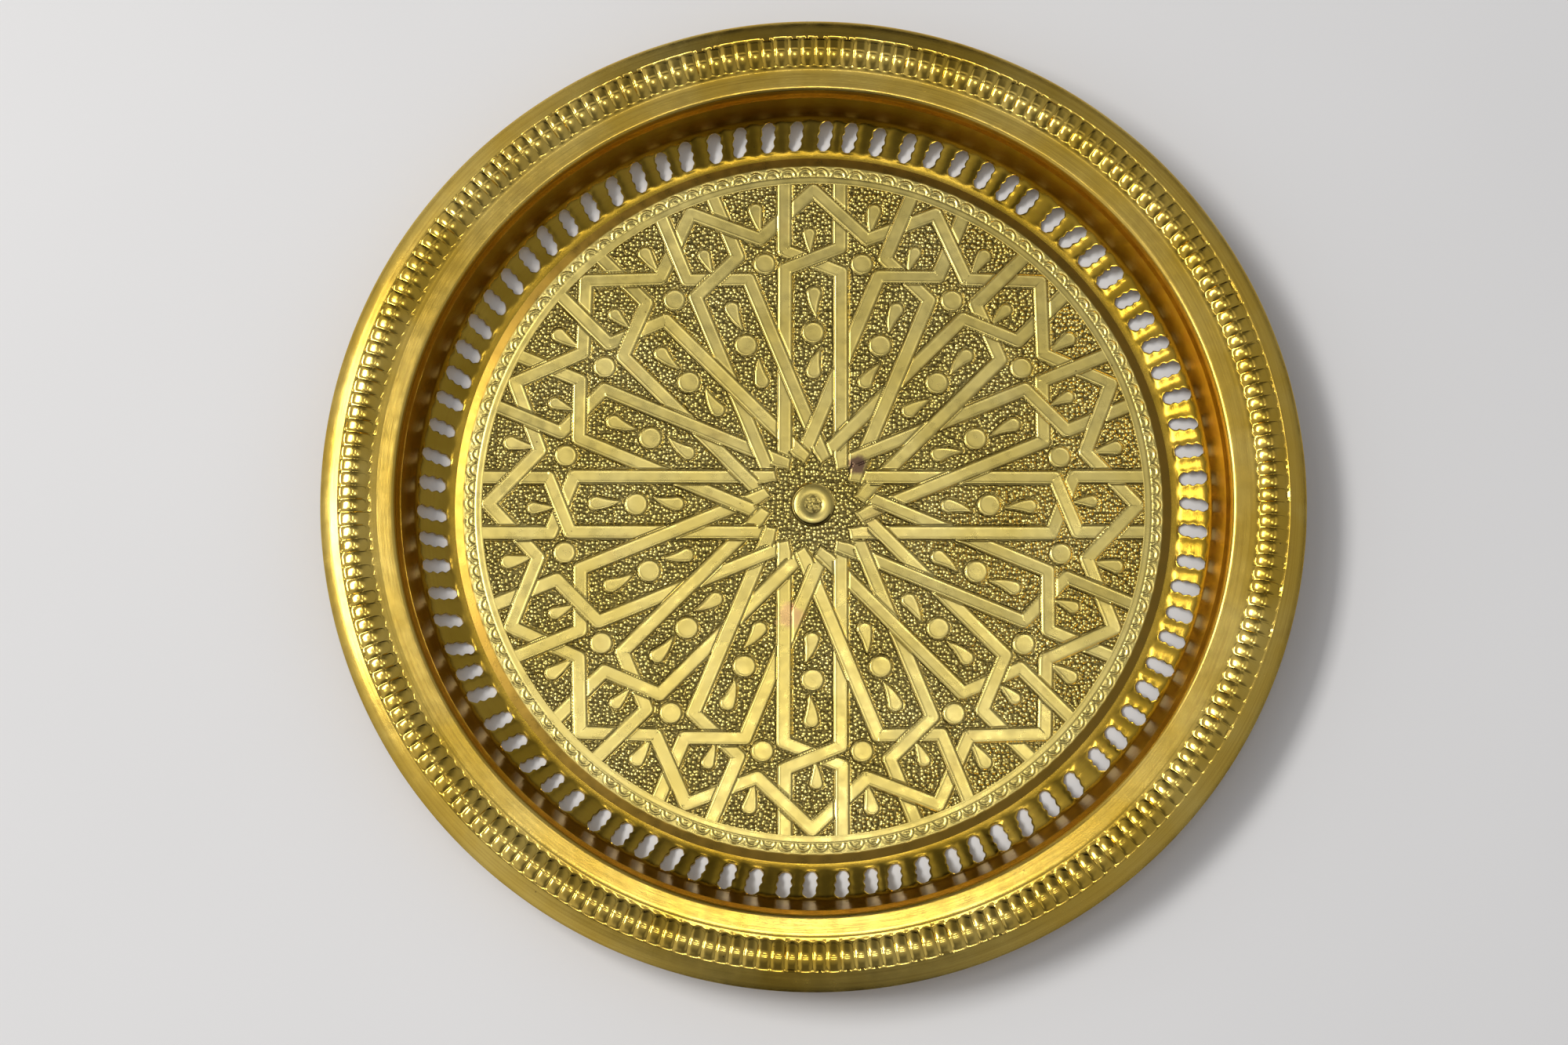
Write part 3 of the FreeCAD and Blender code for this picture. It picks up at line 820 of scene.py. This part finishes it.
def build_floor_border(materials):
    samples = 16
    angles = np.arange(SCALLOP_COUNT * samples) * TURN / (SCALLOP_COUNT * samples)
    rows = rows_along((FIELD_RADIUS, BEVEL_RADIUS, FLOOR_RADIUS), (24, 6))
    radius = rows[:, None] + 0 * angles
    x, y = radius * np.cos(angles), radius * np.sin(angles)
    height = border_height(x, y)
    top = np.stack((x, y, FLOOR_TOP + height), axis=-1)
    outer, inner = top[-1].copy(), top[0].copy()
    outer[:, 2] = FLOOR_BOTTOM
    inner[:, 2] = FLOOR_BOTTOM
    points = np.concatenate((top, outer[None], inner[None]))
    quads = grid_quads(grid_index(points), closed_rows=True, closed_columns=True)
    recess = np.concatenate((np.clip((-0.04 - height) / 0.22, 0, 1), np.zeros((2, len(angles)))))
    reach = np.hypot(points[..., 0], points[..., 1])
    recess = np.where(reach > BEVEL_RADIUS, 0.15, recess)
    punched = 0.12 * ((reach > PLAIN_RING_RADIUS + 0.3) & (reach < SCALLOP_RADIUS))
    add_piece(
        "floor_border",
        points.reshape(-1, 3),
        quads,
        "floor_plate",
        materials["floor"],
        crease=BORDER_CREASE,
        values={"recess": recess.reshape(-1), "punched": punched.reshape(-1)},
    )


# ---------------------------------------------------------------- materials


class NodeTree:
    """A node tree, with short ways to add nodes to it."""

    def __init__(self, owner):
        owner.use_nodes = True
        self.tree = owner.node_tree

    def add(self, kind, inputs=None, **settings):
        node = self.tree.nodes.new(kind)
        for key, value in settings.items():
            setattr(node, key, value)
        for key, value in (inputs or {}).items():
            self.put(node.inputs[key], value)
        return node

    def put(self, socket, value):
        if isinstance(value, bpy.types.NodeSocket):
            self.tree.links.new(value, socket)
        else:
            socket.default_value = value

    def math(self, operation, first, second=0.0):
        return self.add("ShaderNodeMath", {0: first, 1: second}, operation=operation).outputs[0]

    def span(self, value, low, high, bottom=0.0, top=1.0):
        """The value moved from low..high to bottom..top, and held there."""
        inputs = {"Value": value, "From Min": low, "From Max": high, "To Min": bottom, "To Max": top}
        return self.add("ShaderNodeMapRange", inputs).outputs[0]

    def blend(self, share, first, second):
        inputs = {0: share, 6: first, 7: second}
        return self.add("ShaderNodeMix", inputs, data_type="RGBA").outputs[2]

    def vector(self, operation, first, second=(0, 0, 0), output=0):
        return self.add("ShaderNodeVectorMath", {0: first, 1: second}, operation=operation).outputs[output]


class Shading(NodeTree):
    """A material, with short ways to add what the brass needs."""

    def __init__(self, name):
        self.material = bpy.data.materials.new(name)
        super().__init__(self.material)
        self.shader = self.tree.nodes["Principled BSDF"]
        self.place = self.add("ShaderNodeTexCoord").outputs["Object"]

    def noise(self, scale, detail=3.0, vector=None):
        inputs = {"Vector": vector or self.place, "Scale": scale, "Detail": detail}
        return self.add("ShaderNodeTexNoise", inputs).outputs["Fac"]

    def specks(self, scale, size, kept):
        """Small round specks in some cells of a pattern."""
        node = self.add("ShaderNodeTexVoronoi", {"Vector": self.place, "Scale": scale})
        lot = self.add("ShaderNodeSeparateColor", {0: node.outputs["Color"]}).outputs[0]
        chosen = self.math("GREATER_THAN", lot, 1 - kept)
        return self.math("MULTIPLY", self.span(node.outputs["Distance"], size, size * 0.4), chosen)

    def near(self, centre, reach, ragged):
        """A soft patch round a place, with a ragged edge."""
        away = self.vector("DISTANCE", self.place, centre, "Value")
        uneven = self.math("MULTIPLY_ADD", self.noise(260.0, 4.0), ragged)
        uneven.node.inputs[2].default_value = -ragged / 2
        return self.span(self.math("ADD", away, uneven), reach, reach * 0.55)

    def flat_place(self):
        return self.vector("MULTIPLY", self.place, (1, 1, 0))

    def radius(self):
        return self.vector("LENGTH", self.flat_place(), output="Value")

    def ring_place(self, fineness, along):
        """Coordinates that run fast across the radius and slowly round the tray."""
        heading = self.vector("NORMALIZE", self.flat_place())
        slow = self.add("ShaderNodeVectorMath", {0: heading, "Scale": along}, operation="SCALE").outputs[0]
        fast = self.add("ShaderNodeCombineXYZ", {2: self.math("MULTIPLY", self.radius(), fineness)})
        return self.vector("ADD", slow, fast.outputs[0])

    def bump(self, height, strength, distance, normal=None):
        inputs = {"Height": height, "Strength": strength, "Distance": distance}
        if normal is not None:
            inputs["Normal"] = normal
        return self.add("ShaderNodeBump", inputs).outputs[0]


BRASS = (0.77, 0.505, 0.078, 1)
BRASS_PALE = (0.86, 0.62, 0.15, 1)
# brown of real tarnish patches and brushing streaks, also used as painted shade on the rim's collar
BROWN_TARNISH_AND_SHADE = (0.40, 0.21, 0.028, 1)
FLOOR_BRASS = (0.72, 0.56, 0.150, 1)
FLOOR_PALE = (0.80, 0.65, 0.22, 1)
MOULDING_BRASS = (0.66, 0.42, 0.055, 1)
# the gallery's colours are darker than the rim's brass: painted shade standing in for the wall's dark
# reflections
GALLERY_BRASS_DARKENED_AS_SHADE = (0.40, 0.25, 0.022, 1)
GALLERY_PALE_DARKENED_AS_SHADE = (0.54, 0.355, 0.050, 1)
BEVEL_BROWN = (0.27, 0.15, 0.018, 1)
TARNISH = (0.050, 0.030, 0.006, 1)
SPECK = (0.10, 0.05, 0.02, 1)
PURPLE_STAIN = (0.10, 0.035, 0.05, 1)
PINK_STAIN = (0.70, 0.36, 0.20, 1)
STEEL = (0.45, 0.44, 0.42, 1)
TIN = (0.52, 0.52, 0.50, 1)
PAPER = (0.84, 0.83, 0.84, 1)
PAPER_PALE = (0.88, 0.87, 0.88, 1)


def brass(name, roughness, tint=BRASS, pale=BRASS_PALE, brushing=0.0, anisotropy=0.0):
    """Brass with cloudy colour, brown patches, specks, a fine grain and, where it is turned, rings."""
    shading = Shading(name)
    shader = shading.shader
    shader.inputs["Metallic"].default_value = 1.0
    cloud = shading.noise(38.0, 4.0)
    colour = shading.blend(shading.span(cloud, 0.38, 0.66), tint, pale)
    brown = shading.span(shading.noise(75.0, 5.0), 0.60, 0.78, 0.0, 0.35)
    colour = shading.blend(brown, colour, BROWN_TARNISH_AND_SHADE)
    specks = shading.specks(260.0, 0.09, 0.12)
    colour = shading.blend(shading.math("MULTIPLY", specks, 0.8), colour, SPECK)
    rough = shading.span(shading.noise(240.0, 5.0), 0.3, 0.7, roughness * 0.8, roughness * 1.25)
    normal = shading.bump(shading.noise(1500.0, 3.0), 0.10, 0.0001)
    if brushing:
        rings = shading.noise(1.0, 6.0, shading.ring_place(9000.0, 9.0))
        normal = shading.bump(rings, brushing, 0.00006, normal)
        streak = shading.noise(1.0, 4.0, shading.ring_place(1800.0, 3.0))
        colour = shading.blend(shading.span(streak, 0.45, 0.75, 0.0, 0.35), colour, BROWN_TARNISH_AND_SHADE)
    if anisotropy:
        shader.inputs["Anisotropic"].default_value = anisotropy
        shader.inputs["Anisotropic Rotation"].default_value = 0.25
        tangent = shading.add("ShaderNodeTangent", direction_type="RADIAL", axis="Z")
        shading.put(shader.inputs["Tangent"], tangent.outputs[0])
    shading.put(shader.inputs["Base Color"], colour)
    shading.put(shader.inputs["Roughness"], rough)
    shading.put(shader.inputs["Normal"], normal)
    return shading


def floor_brass():
    """Chased brass with dark tarnish in its recesses, a brown bevel, punched beads and two old stains."""
    shading = brass("chased_brass", 0.30, tint=FLOOR_BRASS, pale=FLOOR_PALE)
    shader = shading.shader
    colour = shader.inputs["Base Color"].links[0].from_socket
    recess = shading.add("ShaderNodeAttribute", attribute_name="recess").outputs["Fac"]
    uneven = shading.span(shading.noise(55.0, 4.0), 0.3, 0.7, 0.55, 1.1)
    dark = shading.math("MULTIPLY", shading.span(recess, 0.35, 1.0, 0.0, 0.95), uneven)
    colour = shading.blend(dark, colour, TARNISH)
    bevel = shading.span(shading.radius(), (BEVEL_RADIUS - 0.1) * MM, (BEVEL_RADIUS + 0.3) * MM, 0.0, 0.92)
    colour = shading.blend(bevel, colour, BEVEL_BROWN)

    # round punched beads, bright on top and dark between
    punched = shading.add("ShaderNodeAttribute", attribute_name="punched").outputs["Fac"]
    punch_inputs = {"Vector": shading.place, "Scale": 1 / (BEAD_PITCH * MM), "Randomness": 0.8}
    bead = shading.add("ShaderNodeTexVoronoi", punch_inputs, voronoi_dimensions="2D").outputs["Distance"]
    between = shading.math("MULTIPLY", shading.span(bead, 0.30, 0.66, 0.0, 0.80), punched)
    colour = shading.blend(between, colour, TARNISH)
    round_top = shading.math("SUBTRACT", 1.0, shading.math("POWER", shading.span(bead, 0.0, 0.62), 2.0))
    bead_height = shading.math("MULTIPLY", round_top, punched)
    normal = shader.inputs["Normal"].links[0].from_socket
    shading.put(shader.inputs["Normal"], shading.bump(bead_height, 1.0, 0.0004, normal))
    for x, y, size, ragged, strength, stain in (
        (0.0140, 0.0130, 0.0036, 0.0050, 0.85, PURPLE_STAIN),
        (-0.0070, -0.0360, 0.0048, 0.0060, 0.55, PINK_STAIN),
    ):
        patch = shading.near((x, y, FLOOR_TOP * MM), size, ragged)
        colour = shading.blend(shading.math("MULTIPLY", patch, strength), colour, stain)
    shading.put(shader.inputs["Base Color"], colour)
    return shading.material


def gallery_brass():
    """Brass darkened all over as painted shade, with brown blotches that start above the foot and cover the
    slope and the wall.
    """
    shading = brass("gallery_brass", 0.21, tint=GALLERY_BRASS_DARKENED_AS_SHADE, pale=GALLERY_PALE_DARKENED_AS_SHADE, brushing=0.25)
    shader = shading.shader
    colour = shader.inputs["Base Color"].links[0].from_socket
    height = shading.add("ShaderNodeSeparateXYZ", {0: shading.place}).outputs[2]
    above_foot = shading.span(height, 0.0045, 0.010)
    blotch = shading.span(shading.noise(130.0, 5.0), 0.42, 0.66)
    share = shading.math("MULTIPLY", shading.math("MULTIPLY", above_foot, blotch), 0.6)
    shading.put(shader.inputs["Base Color"], shading.blend(share, colour, BROWN_TARNISH_AND_SHADE))
    return shading.material


def flat_ring_brass():
    """Brushed brass with painted shade, a blend to brown, where it goes down behind the shoulder."""
    shading = brass("rim_brushed_brass", 0.21, brushing=0.35, anisotropy=0.3)
    colour = shading.shader.inputs["Base Color"].links[0].from_socket
    start, end = (SHOULDER_RADIUS + 0.1) * MM, (SHOULDER_RADIUS - 0.4) * MM
    # painted shade: the collar below the shoulder is blended to brown so that it looks dark
    collar = shading.span(shading.radius(), start, end, 0.0, 0.95)
    shading.put(shading.shader.inputs["Base Color"], shading.blend(collar, colour, BROWN_TARNISH_AND_SHADE))
    return shading.material


def plain_metal(name, colour, roughness, grain):
    """Dull solder or drawn wire, with uneven tone and a fine grain."""
    shading = Shading(name)
    shader = shading.shader
    shader.inputs["Metallic"].default_value = 1.0
    darker = tuple(0.55 * part for part in colour[:3]) + (1,)
    shading.put(shader.inputs["Base Color"], shading.blend(shading.noise(grain, 5.0), darker, colour))
    rough = shading.span(shading.noise(grain * 3, 4.0), 0.3, 0.7, roughness, roughness + 0.2)
    shading.put(shader.inputs["Roughness"], rough)
    shading.put(shader.inputs["Normal"], shading.bump(shading.noise(grain * 2, 6.0), 0.5, 0.0002))
    return shading.material


def make_materials():
    return {
        "floor": floor_brass(),
        "gallery": gallery_brass(),
        "brushed": flat_ring_brass(),
        "lip": brass("rim_lip_brass", 0.22, brushing=0.3, anisotropy=0.4).material,
        "moulding": brass("rim_moulding_brass", 0.14, tint=MOULDING_BRASS).material,
        "wire": plain_metal("drawn_wire", STEEL, 0.35, 300.0),
        "solder": plain_metal("tin_solder", TIN, 0.45, 500.0),
    }


# ---------------------------------------------------------------- studio


WARM_WHITE = (1.0, 0.99, 0.95)
WHITE = (1.0, 1.0, 1.0)
SKY_WHITE = (0.97, 0.98, 1.0, 1)
# each lamp: name, place, size, watts, colour; all point at the middle of the tray
LAMPS = (
    ("left_window", (-1.38, 0.38, 1.88), (1.1, 0.5), 28, WARM_WHITE),
    ("left_panel", (-1.28, 0.60, 3.00), (0.5, 0.7), 3.8, WARM_WHITE),
    ("ceiling", (0.02, 0.16, 1.60), (0.9, 0.9), 0.3, WHITE),
    ("ceiling_lamp", (0.02, -0.02, 1.50), (0.20, 0.26), 0.95, WARM_WHITE),
)


def add_area_light(name, place, size, watts, colour):
    light = bpy.data.lights.new(name, "AREA")
    light.shape = "RECTANGLE"
    light.size, light.size_y = size
    light.energy = watts
    light.color = colour
    lamp = bpy.data.objects.new(name, light)
    bpy.context.scene.collection.objects.link(lamp)
    toward = -Vector(place).normalized()
    lamp.matrix_world = Matrix.Translation(place) @ toward.to_track_quat("-Z", "Y").to_matrix().to_4x4()


def build_table():
    """The plain pale surface that the tray lies on."""
    reach = 6.0
    mesh = bpy.data.meshes.new("studio_floor")
    corners = [(-reach, -reach, 0), (reach, -reach, 0), (reach, reach, 0), (-reach, reach, 0)]
    mesh.from_pydata(corners, [], [(0, 1, 2, 3)])
    floor = bpy.data.objects.new("studio_floor", mesh)
    bpy.context.scene.collection.objects.link(floor)
    paper = Shading("pale_paper")
    tone = paper.span(paper.noise(3.0, 3.0), 0.3, 0.7)
    paper.put(paper.shader.inputs["Base Color"], paper.blend(tone, PAPER, PAPER_PALE))
    paper.shader.inputs["Roughness"].default_value = 0.9
    mesh.materials.append(paper.material)


def build_room_light():
    """Soft room light: dark near the horizon, brighter to both sides and above, most on the left."""
    world = bpy.data.worlds.new("studio")
    bpy.context.scene.world = world
    room = NodeTree(world)
    direction = room.add("ShaderNodeTexCoord").outputs["Generated"]
    across, _, upward = room.add("ShaderNodeSeparateXYZ", {0: direction}).outputs
    strength = room.span(room.math("ABSOLUTE", across), 0.15, 0.45, 0.06, 0.27)
    for source, start, end, change in (
        (upward, 0.10, 0.50, 0.07),
        (upward, 0.40, 0.05, -0.20),
        (across, -0.2, -0.5, 0.22),
        (upward, 0.90, 0.99, 0.26),
    ):
        strength = room.math("ADD", strength, room.span(source, start, end, 0.0, change))
    background = room.tree.nodes["Background"]
    room.put(background.inputs["Strength"], room.math("MAXIMUM", strength, 0.0))
    background.inputs["Color"].default_value = SKY_WHITE


CAMERA_PLACE = (-0.0052, -0.1876, 1.0513)
CAMERA_PITCH, CAMERA_YAW, CAMERA_ROLL = 0.1714, 0.0038, 0.0026
CAMERA_LENS = 76.75


def build_camera():
    bpy.context.scene.view_settings.view_transform = "Standard"
    data = bpy.data.cameras.new("camera")
    data.lens = CAMERA_LENS
    data.sensor_width = 36.0
    data.clip_start, data.clip_end = 0.05, 50.0
    camera = bpy.data.objects.new("camera", data)
    bpy.context.scene.collection.objects.link(camera)
    turn = Matrix.Rotation(CAMERA_PITCH, 4, "X") @ Matrix.Rotation(CAMERA_YAW, 4, "Y")
    camera.matrix_world = Matrix.Translation(CAMERA_PLACE) @ turn @ Matrix.Rotation(CAMERA_ROLL, 4, "Z")
    bpy.context.scene.camera = camera


# ---------------------------------------------------------------- assembly

materials = make_materials()
build_rim(materials)
build_gallery(materials)
build_floor_quarters(materials, FLOOR_CELLS)
build_floor_border(materials)
for node, metal in (("edge_wire", "wire"), ("collar_solder", "solder"), ("floor_solder", "solder")):
    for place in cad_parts[node].material_slots:
        place.material = materials[metal]
build_table()
build_room_light()
for lamp in LAMPS:
    add_area_light(*lamp)
build_camera()
